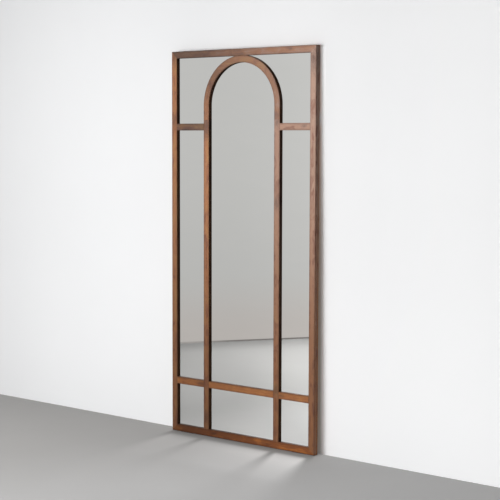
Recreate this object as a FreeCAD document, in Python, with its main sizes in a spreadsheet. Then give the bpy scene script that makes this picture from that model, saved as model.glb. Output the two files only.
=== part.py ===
import FreeCAD, Part
import math
import os
import re

import Sketcher

# Leaner mirror: a mitred rectangular frame, a flush arched grille, and one sheet of mirror behind both.
# +Z is up, the front faces -Y, and the origin is under the middle of the part, at floor level.

# Driving sizes in millimetres, angles in degrees. Heights are measured from the foot of the frame.
SIZES = {
    # Outer frame
    "overall_width": 850,
    "frame_height": 1800,
    "frame_depth": 28,
    "face_width": 32,
    "rebate_width": 10,
    "glass_setback": 11,
    "arris_chamfer": 1,
    # Arched grille
    "bar_width": 32,
    "arch_radius": 225,
    "crown_flat_depth": 2,
    "crown_half_angle": 40,
    "haunch_leg": 65,
    "upper_bar_drop": 97,
    "lower_bar_height": 245,
    # Joinery
    "tenon_length": 10,
    "tenon_width": 20,
    "tenon_thickness": 5,
    "tenon_end_play": 0.5,
    "tongue_width": 18,
    "tongue_thickness": 4,
    "tongue_length": 20,
    "tongue_end_play": 0.5,
    "biscuit_length": 30,
    "biscuit_width": 16,
    "biscuit_thickness": 4,
    "biscuit_inset": 19,
    "biscuit_play": 0.2,
    # Glass and what holds it
    "glass_thickness": 4,
    "glass_play": 2,
    "block_length": 60,
    "backing_thickness": 3,
    "bead_depth": 8,
    "bead_chamfer": 2,
    "brad_length": 22,
    "brad_width": 1.3,
    "brad_thickness": 1,
    # Hangers on the back of the stiles
    "hanger_drop": 300,
    "plate_width": 12,
    "plate_length": 42,
    "plate_thickness": 1.2,
    "plate_corner": 4,
    "eye_wrap_angle": 115,
    "ring_wire": 2.5,
    "ring_play": 0.3,
    "ring_side_play": 1.25,
    "ring_corner": 2.5,
    "ring_leg": 6,
    "hanger_screw_length": 16,
    "hanger_screw_shank": 3,
    "hanger_screw_head": 5,
    "countersink_angle": 90,
    "screw_play": 0.1,
    "screw_end_play": 1,
    # Bumpers and pads
    "bumper_diameter": 16,
    "bumper_height": 6,
    "bumper_top": 12,
    "bumper_inset": 45,
    "floor_pad_length": 80,
    "floor_pad_width": 24,
    "floor_pad_thickness": 2,
    "floor_pad_corner": 5,
    "floor_pad_inset": 50,
    # How far a cut runs past the piece
    "cut_overrun": 5,
}

SIDE_BRAD_COUNT = 6
END_BRAD_COUNT = 3
WIRE_SIDE_COUNT = 8
HANGER_SCREW_SHARES = (0.5, 0.84)
SAME_PLACE = 1e-4

# Places that several pieces share, as expressions in the sizes.
FRONT = "(-(frame_depth + bumper_height) / 2)"
BACK = f"({FRONT} + frame_depth)"
FOOT = "(floor_pad_thickness)"
HALF_WIDTH = "(overall_width / 2)"
REAR_WALL = "(face_width - rebate_width)"
INNER_HALF = "(overall_width / 2 - face_width)"
SPRINGING = "(frame_height - face_width - arch_radius + crown_flat_depth)"
UPPER_BAR = f"({SPRINGING} - upper_bar_drop)"
UPRIGHT_X = "(arch_radius - bar_width / 2)"
INNER_RADIUS = "(arch_radius - bar_width)"
BEHIND_GLASS = "(glass_setback + glass_thickness)"
BEHIND_BOARD = f"({BEHIND_GLASS} + backing_thickness)"
REBATE_LENGTH = f"(overall_width - 2 * {REAR_WALL})"
REBATE_HEIGHT = f"(frame_height - 2 * {REAR_WALL})"
BRAD_Y = "((bead_depth - bead_chamfer) / 2)"
HANGER_HEIGHT = "(frame_height - hanger_drop)"
EYE_RADIUS = "(ring_wire / 2 + ring_play)"
EYE_Y = f"(plate_thickness + {EYE_RADIUS})"

ALIAS = re.compile(r"[a-z]+(?:_[a-z]+)+")
Vector = FreeCAD.Vector
ABOUT_X = Vector(1, 0, 0)
ABOUT_Y = Vector(0, 1, 0)

doc = FreeCAD.newDocument("arched_mirror")
sheet = doc.addObject("Spreadsheet::Sheet", "Sizes")
for row, (alias, number) in enumerate(SIZES.items(), start=1):
    sheet.set(f"A{row}", alias)
    sheet.set(f"B{row}", str(number))
    sheet.setAlias(f"B{row}", alias)
doc.recompute()
subparts = []


def tie(text):
    """The expression as an object outside the sheet reads it."""
    return ALIAS.sub(r"Sizes.\g<0>", text)


def value(text):
    """What an expression in the sizes comes to."""
    return float(sheet.evalExpression(text))


def new_body(label, place=("0", "0", "0"), turn=0):
    """A body turned about Y and placed by three expressions."""
    body = doc.addObject("PartDesign::Body", label)
    body.Label = label
    body.Placement = FreeCAD.Placement(Vector(), FreeCAD.Rotation(ABOUT_Y, turn))
    for axis, text in zip("xyz", place):
        body.setExpression(f"Placement.Base.{axis}", tie(text))
    return body


def sketch_on(body, role, name, offset=("0", "0", "0"), turn=None):
    """A sketch on the body's own origin plane, moved by offset and turned about the plane's second axis."""
    sketch = body.newObject("Sketcher::SketchObject", f"{body.Name}_{name}")
    plane = next(f for f in body.Origin.OriginFeatures if f.Role == role)
    sketch.AttachmentSupport = [(plane, "")]
    sketch.MapMode = "FlatFace"
    if turn:
        sketch.AttachmentOffset = FreeCAD.Placement(Vector(), FreeCAD.Rotation(ABOUT_Y, value(turn)))
        sketch.setExpression("AttachmentOffset.Rotation.Angle", tie(turn))
    for axis, text in zip("xyz", offset):
        sketch.setExpression(f"AttachmentOffset.Base.{axis}", tie(text))
    return sketch


def bind(sketch, constraint, text):
    index = sketch.addConstraint(constraint)
    sketch.setExpression(f"Constraints[{index}]", tie(text))


def hold(sketch, geometry, end, x, y):
    """Ties a point of the sketch to its place."""
    for kind, text, axis in (("DistanceX", x, -2), ("DistanceY", y, -1)):
        if text == "0":
            sketch.addConstraint(Sketcher.Constraint("PointOnObject", geometry, end, axis))
        else:
            bind(sketch, Sketcher.Constraint(kind, -1, 1, geometry, end, value(text)), text)


def arc_between(here, there, radius, turn):
    """The arc of under a half turn from here to there, which turns left (1) or right (-1)."""
    chord = there - here
    left = Vector(-chord.y, chord.x, 0).normalize()
    rise = math.sqrt(max(radius ** 2 - chord.Length ** 2 / 4, 0))
    centre = (here + there) * 0.5 + left * (rise * turn)
    ends = (here, there) if turn > 0 else (there, here)
    angles = [math.atan2(point.y - centre.y, point.x - centre.x) for point in ends]
    return Part.ArcOfCircle(Part.Circle(centre, Vector(0, 0, 1), radius), *angles)


def outline(sketch, corners):
    """A closed outline. A corner is (x, y), or (x, y, radius, turn) where an arc leads to the next corner."""
    points = [Vector(value(corner[0]), value(corner[1]), 0) for corner in corners]
    first = sketch.GeometryCount
    ends = []
    for here, there, corner in zip(points, points[1:] + points[:1], corners):
        if len(corner) == 2:
            sketch.addGeometry(Part.LineSegment(here, there), False)
            ends.append((1, 2))
        else:
            sketch.addGeometry(arc_between(here, there, value(corner[2]), corner[3]), False)
            ends.append((1, 2) if corner[3] > 0 else (2, 1))
    count = len(corners)
    for i, corner in enumerate(corners):
        after = (i + 1) % count
        meet = (first + i, ends[i][1], first + after, ends[after][0])
        sketch.addConstraint(Sketcher.Constraint("Coincident", *meet))
    for i, corner in enumerate(corners):
        hold(sketch, first + i, ends[i][0], corner[0], corner[1])
        if len(corner) > 2:
            bind(sketch, Sketcher.Constraint("Radius", first + i, value(corner[2])), corner[2])


def rectangle(sketch, x0, y0, x1, y1):
    outline(sketch, [(x0, y0), (x1, y0), (x1, y1), (x0, y1)])


def circle(sketch, x, y, diameter):
    radius = value(diameter) / 2
    index = sketch.addGeometry(Part.Circle(Vector(value(x), value(y), 0), Vector(0, 0, 1), radius), False)
    hold(sketch, index, 3, x, y)
    bind(sketch, Sketcher.Constraint("Diameter", index, 2 * radius), diameter)


def pad(body, sketch, length, symmetric=False, backwards=False):
    feature = body.newObject("PartDesign::Pad", f"{sketch.Name}_pad")
    feature.Profile = sketch
    feature.setExpression("Length", tie(length))
    feature.SideType = "Symmetric" if symmetric else "One side"
    feature.Reversed = backwards
    doc.recompute()
    return feature


def pocket(body, sketch, length=None, symmetric=False, backwards=False):
    """A pocket of the given depth, or right through; it has to take something away."""
    before = body.Shape.Volume
    feature = body.newObject("PartDesign::Pocket", f"{sketch.Name}_pocket")
    feature.Profile = sketch
    if length is None:
        feature.Type = "ThroughAll"
    else:
        feature.setExpression("Length", tie(length))
    feature.SideType = "Symmetric" if symmetric else "One side"
    feature.Reversed = backwards
    doc.recompute()
    if not body.Shape.Volume < before:
        raise ValueError(f"{feature.Name} cuts nothing")
    return feature


def countersunk_holes(body, sketch, shank, head, backwards=False):
    """Clearance holes for countersunk screws, from a sketch of circles."""
    doc.recompute()
    before = body.Shape.Volume
    hole = body.newObject("PartDesign::Hole", f"{sketch.Name}_holes")
    hole.Profile = sketch
    hole.DepthType = "ThroughAll"
    hole.HoleCutType = "Countersink"
    hole.Reversed = backwards
    hole.setExpression("Diameter", tie(f"{shank} + 2 * screw_play"))
    hole.setExpression("HoleCutDiameter", tie(f"{head} + 2 * screw_play"))
    hole.setExpression("HoleCutCountersinkAngle", tie("countersink_angle"))
    doc.recompute()
    if not body.Shape.Volume < before:
        raise ValueError(f"{hole.Name} cuts nothing")


def dress(body, kind, measure, size, chosen):
    """Puts a fillet or chamfer on those edges of the body so far that chosen picks."""
    base = body.Tip
    names = [f"Edge{i}" for i, edge in enumerate(base.Shape.Edges, start=1) if chosen(edge)]
    feature = body.newObject(f"PartDesign::{kind}", f"{base.Name}_{kind.lower()}")
    feature.Base = (base, names)
    feature.setExpression(measure, tie(size))
    doc.recompute()


def round_off(body, radius, chosen):
    dress(body, "Fillet", "Radius", radius, chosen)


def ease(body, chosen):
    """Takes the sharpness off wooden arrises."""
    dress(body, "Chamfer", "Size", "arris_chamfer", chosen)


def runs_along(edge, axis):
    """True for a straight edge along the named axis."""
    if not isinstance(edge.Curve, (Part.Line, Part.LineSegment)):
        return False
    return abs(getattr(edge.tangentAt(edge.FirstParameter), axis)) > 1 - SAME_PLACE


def lies_at(edge, **place):
    """True for an edge whose ends all have the given coordinates."""
    return all(
        abs(getattr(vertex.Point, axis) - number) < SAME_PLACE
        for vertex in edge.Vertexes
        for axis, number in place.items()
    )


def finish(body):
    subparts.append(body)
    return body


def spread(count, length):
    """Places of evenly spread brads along a length, about its middle."""
    return [f"({length} * {(i + 0.5) / count - 0.5})" for i in range(count)]


def tongue_slot(body, name, place, turn=None):
    """A slot for a loose tongue across a joint whose middle is at place and whose plane is turned about Y."""
    x, z = place
    sketch = sketch_on(body, "XY_Plane", name, (x, "glass_setback / 2", z), turn)
    rectangle(sketch, "-tongue_width / 2", "-tongue_thickness / 2", "tongue_width / 2", "tongue_thickness / 2")
    pocket(body, sketch, "tongue_length + 2 * tongue_end_play", symmetric=True)


def brad_slots(body, height, y, places, depth=None):
    """Slots that brads fill, in the face at the given height above the body's outer edge."""
    sketch = sketch_on(body, "XY_Plane", "brad_slots", ("0", "0", height))
    for x in places:
        rectangle(sketch, f"{x} - brad_width / 2", f"{y} - brad_thickness / 2",
                  f"{x} + brad_width / 2", f"{y} + brad_thickness / 2")
    pocket(body, sketch, depth)


def lens(sketch, x, z, turn_x, turn_z, play):
    """A biscuit's outline about (x, z), lying along a mitre whose direction has the signs turn_x, turn_z."""
    half = f"((biscuit_length / 2 + {play}) / sqrt(2))"
    length = f"(biscuit_length / 2 + {play})"
    width = f"(biscuit_width / 2 + {play})"
    radius = f"(({length} * {length} + {width} * {width}) / (2 * {width}))"
    outline(sketch, [
        (f"{x} - {turn_x} * {half}", f"{z} - {turn_z} * {half}", radius, 1),
        (f"{x} + {turn_x} * {half}", f"{z} + {turn_z} * {half}", radius, 1),
    ])


def frame_member(label, length, place, turn, mortises=(), crown_slot=False, hanger_along=None):
    """A stile or rail: X along it, Y from front to back, Z from its outer edge inwards."""
    body = new_body(label, place, turn)
    section = sketch_on(body, "YZ_Plane", "section")
    outline(section, [
        ("0", "0"),
        ("frame_depth", "0"),
        ("frame_depth", REAR_WALL),
        ("glass_setback", REAR_WALL),
        ("glass_setback", "face_width"),
        ("0", "face_width"),
    ])
    pad(body, section, length, symmetric=True)
    arrises = ((0, 0), (0, value("face_width")), (value("frame_depth"), 0))
    ease(body, lambda edge: runs_along(edge, "x") and any(lies_at(edge, y=y, z=z) for y, z in arrises))

    mitres = sketch_on(body, "XZ_Plane", "mitres")
    biscuit_slots = sketch_on(body, "XZ_Plane", "biscuit_slots", ("0", "0", "-glass_setback / 2"))
    for side in ("-", ""):
        end = f"{side}{length} / 2"
        beyond = f"{side}({length} / 2 + cut_overrun)"
        inside = f"{side}({length} / 2 - face_width - cut_overrun)"
        above = "face_width + cut_overrun"
        outline(mitres, [(beyond, "-cut_overrun"), (inside, above), (beyond, above)])
        along = "1" if side else "-1"
        lens(biscuit_slots, f"{end} + {along} * biscuit_inset / sqrt(2)", "biscuit_inset / sqrt(2)",
             along, "1", "biscuit_play")
    pocket(body, mitres, symmetric=True)
    pocket(body, biscuit_slots, "biscuit_thickness", symmetric=True)

    if mortises:
        sketch = sketch_on(body, "XY_Plane", "mortises", ("0", "0", "face_width"))
        for x in mortises:
            rectangle(
                sketch,
                f"{x} - tenon_width / 2", "(glass_setback - tenon_thickness) / 2",
                f"{x} + tenon_width / 2", "(glass_setback + tenon_thickness) / 2",
            )
        pocket(body, sketch, "tenon_length + tenon_end_play")
    if crown_slot:
        tongue_slot(body, "crown_slot", ("0", "face_width"))

    count = SIDE_BRAD_COUNT if length == "frame_height" else END_BRAD_COUNT
    brad_slots(body, REAR_WALL, f"{BEHIND_BOARD} + {BRAD_Y}", spread(count, length), "brad_length - rebate_width")

    if hanger_along:
        pilots = sketch_on(body, "XZ_Plane", "hanger_pilots", ("0", "0", "-frame_depth"))
        for share in HANGER_SCREW_SHARES:
            x = f"{hanger_along} * ({HANGER_HEIGHT} - frame_height / 2 - plate_length * {share})"
            circle(pilots, x, f"{REAR_WALL} / 2", "hanger_screw_shank + 2 * screw_play")
        depth = "hanger_screw_length - plate_thickness + screw_end_play"
        pocket(body, pilots, depth, backwards=True)
    return finish(body)


def outer_frame():
    middle = f"{FOOT} + frame_height / 2"
    bars = [f"({height} - frame_height / 2)" for height in (UPPER_BAR, "lower_bar_height")]
    frame_member("left_stile", "frame_height", (f"-{HALF_WIDTH}", FRONT, middle), 90,
                 [f"-{bar}" for bar in bars], hanger_along="-1")
    frame_member("right_stile", "frame_height", (HALF_WIDTH, FRONT, middle), -90, bars, hanger_along="1")
    frame_member("top_rail", "overall_width", ("0", FRONT, f"{FOOT} + frame_height"), 180, crown_slot=True)
    frame_member("bottom_rail", "overall_width", ("0", FRONT, FOOT), 0, [f"-{UPRIGHT_X}", UPRIGHT_X])


def grille_piece(label, place, corners, chosen):
    """A piece of the grille, as deep as the glass lies behind the face, with eased front edges."""
    body = new_body(label, place)
    face = sketch_on(body, "XZ_Plane", "face")
    outline(face, corners)
    pad(body, face, "glass_setback", backwards=True)
    ease(body, lambda edge: lies_at(edge, y=0) and chosen(edge))
    return body


def tenons(body, rectangles):
    """Stub tenons, centred in the thickness of the bar."""
    sketch = sketch_on(body, "XZ_Plane", "tenons", ("0", "0", "-(glass_setback - tenon_thickness) / 2"))
    for corners in rectangles:
        rectangle(sketch, *corners)
    pad(body, sketch, "tenon_thickness", backwards=True)


def crossbar(label, middle_x, height, length):
    """A bar with a stub tenon at each end; X along it."""
    half, rise = f"({length} / 2)", "bar_width / 2"
    body = grille_piece(
        label,
        (middle_x, FRONT, f"{FOOT} + {height}"),
        [(f"-{half}", f"-{rise}"), (half, f"-{rise}"), (half, rise), (f"-{half}", rise)],
        lambda edge: runs_along(edge, "x"),
    )
    tenons(body, [
        (f"{side}({half} + tenon_length)", "-tenon_width / 2", f"{side}{half}", "tenon_width / 2")
        for side in ("-", "")
    ])
    return body


def crossbars():
    length = f"({INNER_HALF} - arch_radius)"
    middle = f"({INNER_HALF} + arch_radius) / 2"
    finish(crossbar("upper_left_crossbar", f"-{middle}", UPPER_BAR, length))
    finish(crossbar("upper_right_crossbar", middle, UPPER_BAR, length))

    lower = crossbar("lower_crossbar", "0", "lower_bar_height", f"(2 * {INNER_HALF})")
    halvings = sketch_on(lower, "XZ_Plane", "halvings")
    for side in ("-", ""):
        rectangle(halvings, f"{side}arch_radius", "-bar_width / 2 - cut_overrun",
                  f"{side}{INNER_RADIUS}", "bar_width / 2 + cut_overrun")
    pocket(lower, halvings, "glass_setback / 2")
    finish(lower)


def upright(label, side):
    """From the bottom rail to the arch, over the lower crossbar: X across it, Z up from its shoulder."""
    top = f"({SPRINGING} - haunch_leg - face_width)"
    half = "bar_width / 2"
    body = grille_piece(
        label,
        (f"{side}{UPRIGHT_X}", FRONT, f"{FOOT} + face_width"),
        [(f"-{half}", "0"), (half, "0"), (half, top), (f"-{half}", top)],
        lambda edge: runs_along(edge, "z"),
    )
    tenons(body, [("-tenon_width / 2", "-tenon_length", "tenon_width / 2", "0")])

    halving = sketch_on(body, "XZ_Plane", "halving", ("0", "0", "-glass_setback"))
    low = "lower_bar_height - face_width"
    rectangle(halving, f"-{half} - cut_overrun", f"{low} - {half}", f"{half} + cut_overrun", f"{low} + {half}")
    pocket(body, halving, "glass_setback / 2", backwards=True)

    mortise = sketch_on(body, "YZ_Plane", "mortise", ("0", "0", f"{side}{half}"))
    high = f"({UPPER_BAR} - face_width)"
    rectangle(
        mortise,
        "(glass_setback - tenon_thickness) / 2", f"{high} - tenon_width / 2",
        "(glass_setback + tenon_thickness) / 2", f"{high} + tenon_width / 2",
    )
    pocket(body, mortise, "tenon_length + tenon_end_play", backwards=side == "-")
    tongue_slot(body, "leg_slot", ("0", top))
    finish(body)


def on_ring(radius, side=""):
    """The point of a ring at the joint between crown and haunch, about the arch's centre."""
    return f"{side}{radius} * sin(crown_half_angle)", f"{radius} * cos(crown_half_angle)"


def joint_turn(side):
    return f"90 {side or '+'} crown_half_angle"


def arch():
    """Three segments about the arch's centre: Z = 0 is the springing line."""
    place = ("0", FRONT, f"{FOOT} + {SPRINGING}")
    flat = "(arch_radius - crown_flat_depth)"
    flat_x = f"sqrt(arch_radius * arch_radius - {flat} * {flat})"

    def on_arc(edge):
        return isinstance(edge.Curve, Part.Circle)

    crown = grille_piece("arch_crown", place, [
        (*on_ring(INNER_RADIUS, "-"), INNER_RADIUS, -1),
        on_ring(INNER_RADIUS),
        (*on_ring("arch_radius"), "arch_radius", 1),
        (flat_x, flat),
        (f"-{flat_x}", flat, "arch_radius", 1),
        on_ring("arch_radius", "-"),
    ], on_arc)
    for side, name in (("-", "left_slot"), ("", "right_slot")):
        tongue_slot(crown, name, on_ring(UPRIGHT_X, side), joint_turn(side))
    tongue_slot(crown, "top_slot", ("0", flat))
    finish(crown)

    for side, label in (("-", "left_haunch"), ("", "right_haunch")):
        turn = -1 if side else 1
        haunch = grille_piece(label, place, [
            (*on_ring(INNER_RADIUS, side), INNER_RADIUS, -turn),
            (f"{side}{INNER_RADIUS}", "0"),
            (f"{side}{INNER_RADIUS}", "-haunch_leg"),
            (f"{side}arch_radius", "-haunch_leg"),
            (f"{side}arch_radius", "0", "arch_radius", turn),
            on_ring("arch_radius", side),
        ], lambda edge: on_arc(edge) or runs_along(edge, "z"))
        tongue_slot(haunch, "crown_slot", on_ring(UPRIGHT_X, side), joint_turn(side))
        tongue_slot(haunch, "leg_slot", (f"{side}{UPRIGHT_X}", "-haunch_leg"))
        finish(haunch)


def sheet_piece(label, behind_face, thickness):
    """Glass or board, lying in the rebate with play all round."""
    body = new_body(label, ("0", f"{FRONT} + {behind_face}", f"{FOOT} + frame_height / 2"))
    face = sketch_on(body, "XZ_Plane", "face")
    wide, high = f"({REBATE_LENGTH} / 2 - glass_play)", f"({REBATE_HEIGHT} / 2 - glass_play)"
    rectangle(face, f"-{wide}", f"-{high}", wide, high)
    pad(body, face, thickness, backwards=True)
    finish(body)


def bead(label, length, count, member_length, place, turn):
    """A retaining bead: X along it, Y back from the board, Z inwards from the rebate's wall."""
    body = new_body(label, place, turn)
    section = sketch_on(body, "YZ_Plane", "section")
    outline(section, [
        ("0", "0"),
        ("bead_depth", "0"),
        ("bead_depth", "rebate_width - bead_chamfer"),
        ("bead_depth - bead_chamfer", "rebate_width"),
        ("0", "rebate_width"),
    ])
    pad(body, section, length, symmetric=True)
    brad_slots(body, "rebate_width", BRAD_Y, spread(count, member_length))
    finish(body)


def beads():
    y = f"{FRONT} + {BEHIND_BOARD}"
    middle = f"{FOOT} + frame_height / 2"
    reach = f"({HALF_WIDTH} - {REAR_WALL})"
    side_length = f"({REBATE_HEIGHT} - 2 * rebate_width)"
    bead("left_bead", side_length, SIDE_BRAD_COUNT, "frame_height", (f"-{reach}", y, middle), 90)
    bead("right_bead", side_length, SIDE_BRAD_COUNT, "frame_height", (reach, y, middle), -90)
    top = f"{FOOT} + frame_height - {REAR_WALL}"
    bead("top_bead", REBATE_LENGTH, END_BRAD_COUNT, "overall_width", ("0", y, top), 180)
    bead("bottom_bead", REBATE_LENGTH, END_BRAD_COUNT, "overall_width", ("0", y, f"{FOOT} + {REAR_WALL}"), 0)


def hanger_plate(label, side):
    """A strap whose upper end is rolled into an eye: its axis is X, and Y = 0 lies on the stile's back."""
    place = (f"{side}({HALF_WIDTH} - {REAR_WALL} / 2)", BACK, f"{FOOT} + {HANGER_HEIGHT}")
    body = new_body(label, place)
    inner, outer = EYE_RADIUS, f"({EYE_RADIUS} + plate_thickness)"

    def around(radius, angle):
        return f"{EYE_Y} + {radius} * cos({angle})", f"{radius} * sin({angle})"

    strip = sketch_on(body, "YZ_Plane", "strip")
    outline(strip, [
        ("0", "-plate_length"),
        ("plate_thickness", "-plate_length"),
        ("plate_thickness", "0", inner, -1),
        (*around(inner, "90"), inner, -1),
        (*around(inner, "0"), inner, -1),
        around(inner, "-eye_wrap_angle"),
        (*around(outer, "-eye_wrap_angle"), outer, 1),
        (*around(outer, "0"), outer, 1),
        (*around(outer, "90"), outer, 1),
        ("0", "0"),
    ])
    pad(body, strip, "plate_width", symmetric=True)
    foot = -value("plate_length")
    round_off(body, "plate_corner", lambda edge: runs_along(edge, "y") and lies_at(edge, z=foot))
    holes = sketch_on(body, "XZ_Plane", "screw_holes", ("0", "0", "-plate_thickness"))
    for share in HANGER_SCREW_SHARES:
        circle(holes, "0", f"-plate_length * {share}", "hanger_screw_shank")
    countersunk_holes(body, holes, "hanger_screw_shank", "hanger_screw_head", backwards=True)
    finish(body)


def hanger_ring(label, side):
    """A D of wire that hangs in the eye: the bar lies on X, the bow below it. The wire's section has flats."""
    place = (f"{side}({HALF_WIDTH} - {REAR_WALL} / 2)", f"{BACK} + {EYE_Y}", f"{FOOT} + {HANGER_HEIGHT}")
    body = new_body(label, place)
    half = "(plate_width / 2 + ring_side_play + ring_wire / 2)"
    bar = f"({half} - ring_corner)"
    path = sketch_on(body, "XZ_Plane", "path")
    outline(path, [
        ("0", "0"),
        (f"{bar}", "0", "ring_corner", -1),
        (half, "-ring_corner"),
        (half, "-ring_leg", half, -1),
        ("0", f"-ring_leg - {half}", half, -1),
        (f"-{half}", "-ring_leg"),
        (f"-{half}", "-ring_corner", "ring_corner", -1),
        (f"-{bar}", "0"),
    ])
    wire = sketch_on(body, "YZ_Plane", "wire")
    turns = [360 * (i + 0.5) / WIRE_SIDE_COUNT for i in range(WIRE_SIDE_COUNT)]
    outline(wire, [(f"ring_wire / 2 * cos({turn})", f"ring_wire / 2 * sin({turn})") for turn in turns])
    doc.recompute()
    pipe = body.newObject("PartDesign::AdditivePipe", f"{label}_pipe")
    pipe.Profile = wire
    pipe.Spine = path
    doc.recompute()
    finish(body)


def revolved(label, corners):
    """A template turned about Z from a half outline in X and Z."""
    body = new_body(label)
    half = sketch_on(body, "XZ_Plane", "half")
    outline(half, corners)
    turned = body.newObject("PartDesign::Revolution", f"{label}_turned")
    turned.Profile = half
    turned.ReferenceAxis = (half, ["V_Axis"])
    doc.recompute()
    return body


def screw(label, head, shank, length):
    """A countersunk screw: its head's top is at Z = 0, its shank below."""
    sink = f"({head} - {shank}) / 2 / tan(countersink_angle / 2)"
    return revolved(label, [
        ("0", "0"),
        (f"{head} / 2", "0"),
        (f"{shank} / 2", f"-{sink}"),
        (f"{shank} / 2", f"-{length}"),
        ("0", f"-{length}"),
    ])


def scatter(label, template, places):
    """One node of equal separate solids."""
    solids = []
    for place in places:
        solid = template.Shape.copy()
        solid.Placement = place
        solids.append(solid)
    group = doc.addObject("Part::Feature", label)
    group.Label = label
    group.Shape = Part.makeCompound(solids)
    group.Placement = FreeCAD.Placement()
    subparts.append(group)


def at(x, y, z, turn=0, axis=ABOUT_Y):
    """A placement from three expressions, or numbers, and a turn in degrees."""
    numbers = [value(text) if isinstance(text, str) else text for text in (x, y, z)]
    return FreeCAD.Placement(Vector(*numbers), FreeCAD.Rotation(axis, turn))


def scatter_biscuits():
    biscuit = new_body("biscuit")
    face = sketch_on(biscuit, "XZ_Plane", "face")
    lens(face, "0", "0", "1", "1", "0")
    pad(biscuit, face, "biscuit_thickness", symmetric=True)
    x = value(f"{HALF_WIDTH} - biscuit_inset / sqrt(2)")
    rise = value("frame_height / 2 - biscuit_inset / sqrt(2)")
    middle = value(f"{FOOT} + frame_height / 2")
    y = f"{FRONT} + glass_setback / 2"
    places = [at(sx * x, y, middle + sz * rise, 90 if sx * sz < 0 else 0) for sx in (-1, 1) for sz in (-1, 1)]
    scatter("corner_biscuits", biscuit, places)


def scatter_tongues():
    """Loose tongues in the arch's joints, and one between the crown and the top rail."""
    tongue = new_body("tongue")
    face = sketch_on(tongue, "XY_Plane", "face")
    rectangle(face, "-tongue_width / 2", "-tongue_thickness / 2", "tongue_width / 2", "tongue_thickness / 2")
    pad(tongue, face, "tongue_length", symmetric=True)
    y = f"{FRONT} + glass_setback / 2"
    centre = f"{FOOT} + {SPRINGING}"
    places = [at("0", y, f"{centre} + arch_radius - crown_flat_depth")]
    for side in ("-", ""):
        x, z = on_ring(UPRIGHT_X, side)
        places.append(at(x, y, f"{centre} + {z}", value(joint_turn(side))))
        places.append(at(f"{side}{UPRIGHT_X}", y, f"{centre} - haunch_leg"))
    scatter("arch_tongues", tongue, places)


def scatter_brads():
    """Brads through the beads into the frame, flush with the beads."""
    brad = new_body("brad")
    face = sketch_on(brad, "XY_Plane", "face")
    rectangle(face, "-brad_width / 2", "-brad_thickness / 2", "brad_width / 2", "brad_thickness / 2")
    pad(brad, face, "brad_length", backwards=True)
    y = f"{FRONT} + {BEHIND_BOARD} + {BRAD_Y}"
    middle = f"{FOOT} + frame_height / 2"
    places = []
    for x, z, turn, count, length in (
        (f"-{HALF_WIDTH}", middle, 90, SIDE_BRAD_COUNT, "frame_height"),
        (HALF_WIDTH, middle, -90, SIDE_BRAD_COUNT, "frame_height"),
        ("0", f"{FOOT} + frame_height", 180, END_BRAD_COUNT, "overall_width"),
        ("0", FOOT, 0, END_BRAD_COUNT, "overall_width"),
    ):
        member = at(x, y, z, turn)
        places += [member.multiply(at(along, "0", "face_width")) for along in spread(count, length)]
    scatter("bead_brads", brad, places)


def scatter_hanger_screws():
    hanger_screw = screw("hanger_screw", "hanger_screw_head", "hanger_screw_shank", "hanger_screw_length")
    scatter("hanger_screws", hanger_screw, [
        at(f"{side}({HALF_WIDTH} - {REAR_WALL} / 2)", f"{BACK} + plate_thickness",
           f"{FOOT} + {HANGER_HEIGHT} - plate_length * {share}", -90, ABOUT_X)
        for side in ("-", "")
        for share in HANGER_SCREW_SHARES
    ])


def scatter_rubber():
    """Blocks under the glass, bumpers against the wall and pads on the floor."""
    block = new_body("block")
    face = sketch_on(block, "XY_Plane", "face")
    rectangle(face, "-block_length / 2", "0", "block_length / 2", "glass_thickness")
    pad(block, face, "glass_play")
    scatter("setting_blocks", block, [
        at(f"{side}{REBATE_LENGTH} / 4", f"{FRONT} + glass_setback", f"{FOOT} + {REAR_WALL}") for side in ("-", "")
    ])

    bumper = revolved("bumper", [
        ("0", "0"),
        ("bumper_diameter / 2", "0"),
        ("bumper_top / 2", "bumper_height"),
        ("0", "bumper_height"),
    ])
    scatter("wall_bumpers", bumper, [
        at(f"{side}({HALF_WIDTH} - {REAR_WALL} / 2)", BACK, f"{FOOT} + {height}", -90, ABOUT_X)
        for side in ("-", "")
        for height in ("bumper_inset", "frame_height - bumper_inset")
    ])

    floor_pad = new_body("floor_pad")
    face = sketch_on(floor_pad, "XY_Plane", "face")
    rectangle(face, "-floor_pad_length / 2", "-floor_pad_width / 2", "floor_pad_length / 2", "floor_pad_width / 2")
    pad(floor_pad, face, "floor_pad_thickness")
    round_off(floor_pad, "floor_pad_corner", lambda edge: runs_along(edge, "z"))
    reach = f"({HALF_WIDTH} - floor_pad_inset - floor_pad_length / 2)"
    scatter("floor_pads", floor_pad, [
        at(f"{side}{reach}", f"{FRONT} + frame_depth / 2", "0") for side in ("-", "")
    ])


def check_and_write():
    """Stops on any failed object, then writes one file for each sub-part."""
    doc.recompute()
    failed = [o.Name for o in doc.Objects if "Invalid" in o.State or "Error" in o.State]
    for piece in subparts:
        if piece.Shape.isNull() or not piece.Shape.isValid() or not piece.Shape.Solids:
            failed.append(piece.Label)
    if failed:
        raise RuntimeError(f"failed: {failed}")
    os.makedirs("parts", exist_ok=True)
    for piece in subparts:
        piece.Shape.exportStep(f"parts/{piece.Label}.step")
        print(f"{piece.Label}: {len(piece.Shape.Solids)} solids, {piece.Shape.Volume:.0f} mm3")


outer_frame()
arch()
upright("left_upright", "-")
upright("right_upright", "")
crossbars()
sheet_piece("mirror_glass", "glass_setback", "glass_thickness")
sheet_piece("backing_board", BEHIND_GLASS, "backing_thickness")
beads()
for plate_side, plate_name in (("-", "left"), ("", "right")):
    hanger_plate(f"{plate_name}_hanger_plate", plate_side)
    hanger_ring(f"{plate_name}_hanger_ring", plate_side)
scatter_biscuits()
scatter_tongues()
scatter_brads()
scatter_hanger_screws()
scatter_rubber()
check_and_write()
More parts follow.
